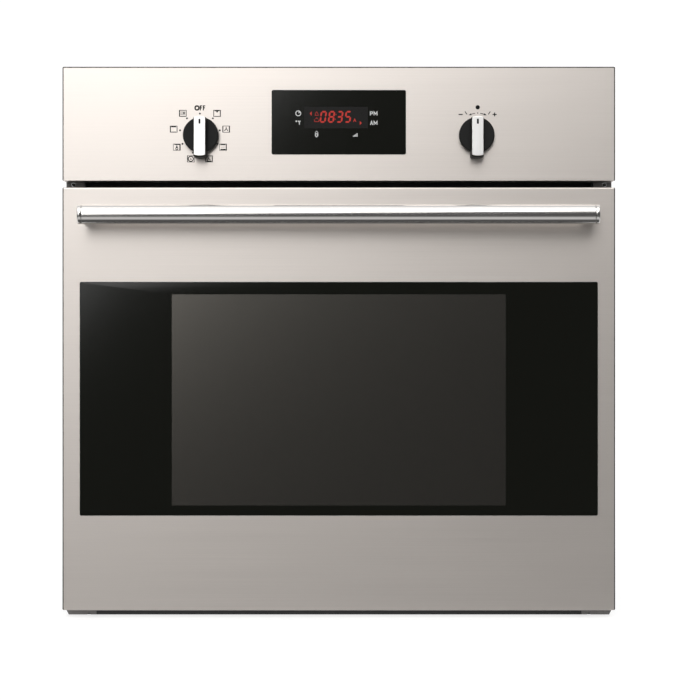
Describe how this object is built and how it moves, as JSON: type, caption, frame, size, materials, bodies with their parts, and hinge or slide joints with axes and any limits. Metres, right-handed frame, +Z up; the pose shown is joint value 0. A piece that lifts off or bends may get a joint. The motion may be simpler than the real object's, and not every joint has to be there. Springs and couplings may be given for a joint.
{
  "type": "wall oven",
  "caption": "Built-in single electric wall oven with a brushed steel front, two knobs, a clock, a drop-down glazed door with a bar handle, and its cavity, heaters and fans.",
  "frame": {"origin": "centre of the underside of the whole box, from the handle's front to the conduit gland's end", "axes": "the front faces -Y, +X is to the viewer's right, +Z is up"},
  "size_m": [0.595, 0.628, 0.593],
  "materials": {
    "brushed_steel": "horizontal brushed satin",
    "handle_steel": "satin",
    "black_glass": "gloss, black printed border, tinted window",
    "clear_glass": "clear gloss",
    "black_plastic": "fine matte",
    "circuit_board": "solder-mask gloss",
    "galvanised_steel": "zinc-coated, faint spangle",
    "grey_frame": "satin grey",
    "black_enamel": "vitreous enamel, fine speckle",
    "mineral_wool": "matted fibre",
    "gasket": "matte",
    "heater_sheath": "heat-darkened",
    "chrome_wire": "bright",
    "aluminium": "plain rolled",
    "ceramic": "unglazed"
  },
  "bodies": {
    "case": {"control_fascia": "brushed_steel", "display_glass": "black_glass", "display_module": "black_plastic", "display_board": "circuit_board", "selector_switch": "black_plastic", "control_encoder": "black_plastic", "front_frame": "grey_frame", "side_panel_left": "galvanised_steel", "side_panel_right": "galvanised_steel", "base_panel": "galvanised_steel", "top_cover": "galvanised_steel", "back_panel": "galvanised_steel", "cavity_liner": "black_enamel", "cavity_insulation": "mineral_wool", "door_gasket": "gasket", "bake_element": "heater_sheath", "grill_element": "heater_sheath", "ring_element": "heater_sheath", "convection_motor": "galvanised_steel", "fan_baffle": "black_enamel", "lamp_housing": "ceramic", "lamp_lens": "clear_glass", "temperature_probe": "chrome_wire", "rack_support_left": "chrome_wire", "rack_support_right": "chrome_wire", "air_duct": "galvanised_steel", "cooling_fan_housing": "galvanised_steel", "cooling_fan_motor": "black_plastic", "control_board": "circuit_board", "terminal_block": "black_plastic", "conduit_gland": "black_plastic", "hinge_arm_left": "galvanised_steel", "hinge_arm_right": "galvanised_steel"},
    "door": {"door_skin": "brushed_steel", "door_glass_outer": "black_glass", "door_glass_middle": "clear_glass", "door_glass_inner": "clear_glass", "door_liner": "black_enamel", "door_top_trim": "black_plastic", "handle_bar": "handle_steel", "handle_end_left": "handle_steel", "handle_end_right": "handle_steel", "hinge_channel_left": "galvanised_steel", "hinge_channel_right": "galvanised_steel", "hinge_pin_left": "aluminium", "hinge_pin_right": "aluminium"},
    "function_knob": {"function_knob_body": "black_plastic", "function_knob_cap": "handle_steel", "function_knob_shaft": "aluminium"},
    "control_shaft": {"control_knob_shaft": "aluminium"},
    "control_knob": {"control_knob_body": "black_plastic", "control_knob_cap": "handle_steel"},
    "convection_fan": {"convection_fan": "aluminium"},
    "cooling_fan": {"cooling_fan_rotor": "aluminium"},
    "shelf": {"wire_shelf": "chrome_wire"},
    "tray": {"baking_tray": "black_enamel"}
  },
  "joints": [
    {"name": "door_hinge", "type": "hinge", "parent": "case", "child": "door", "pos_m": [0, -0.25705, 0.016], "axis": [1, 0, 0], "range_deg": [0, 90], "stiffness_Nm_per_rad": 12, "springref_deg": -8.59},
    {"name": "function_turn", "type": "hinge", "parent": "case", "child": "function_knob", "pos_m": [-0.148, -0.27, 0.5185], "axis": [0, 1, 0], "continuous": true},
    {"name": "control_turn", "type": "hinge", "parent": "case", "child": "control_shaft", "pos_m": [0.148, -0.27, 0.5185], "axis": [0, 1, 0], "range_deg": [-35, 35], "stiffness_Nm_per_rad": 0.08},
    {"name": "control_press", "type": "slide", "parent": "control_shaft", "child": "control_knob", "axis": [0, 1, 0], "range_m": [0, 0.002], "stiffness_N_per_m": 1500, "springref_m": -0.001},
    {"name": "convection_spin", "type": "hinge", "parent": "case", "child": "convection_fan", "pos_m": [0, 0.17, 0.241], "axis": [0, 1, 0], "continuous": true},
    {"name": "cooling_spin", "type": "hinge", "parent": "case", "child": "cooling_fan", "pos_m": [-0.04, 0.0482, 0.5068], "axis": [1, 0, 0], "continuous": true},
    {"name": "shelf_slide", "type": "slide", "parent": "case", "child": "shelf", "axis": [0, -1, 0], "range_m": [0, 0.03]},
    {"name": "tray_slide", "type": "slide", "parent": "case", "child": "tray", "axis": [0, -1, 0], "range_m": [0, 0.03]}
  ]
}
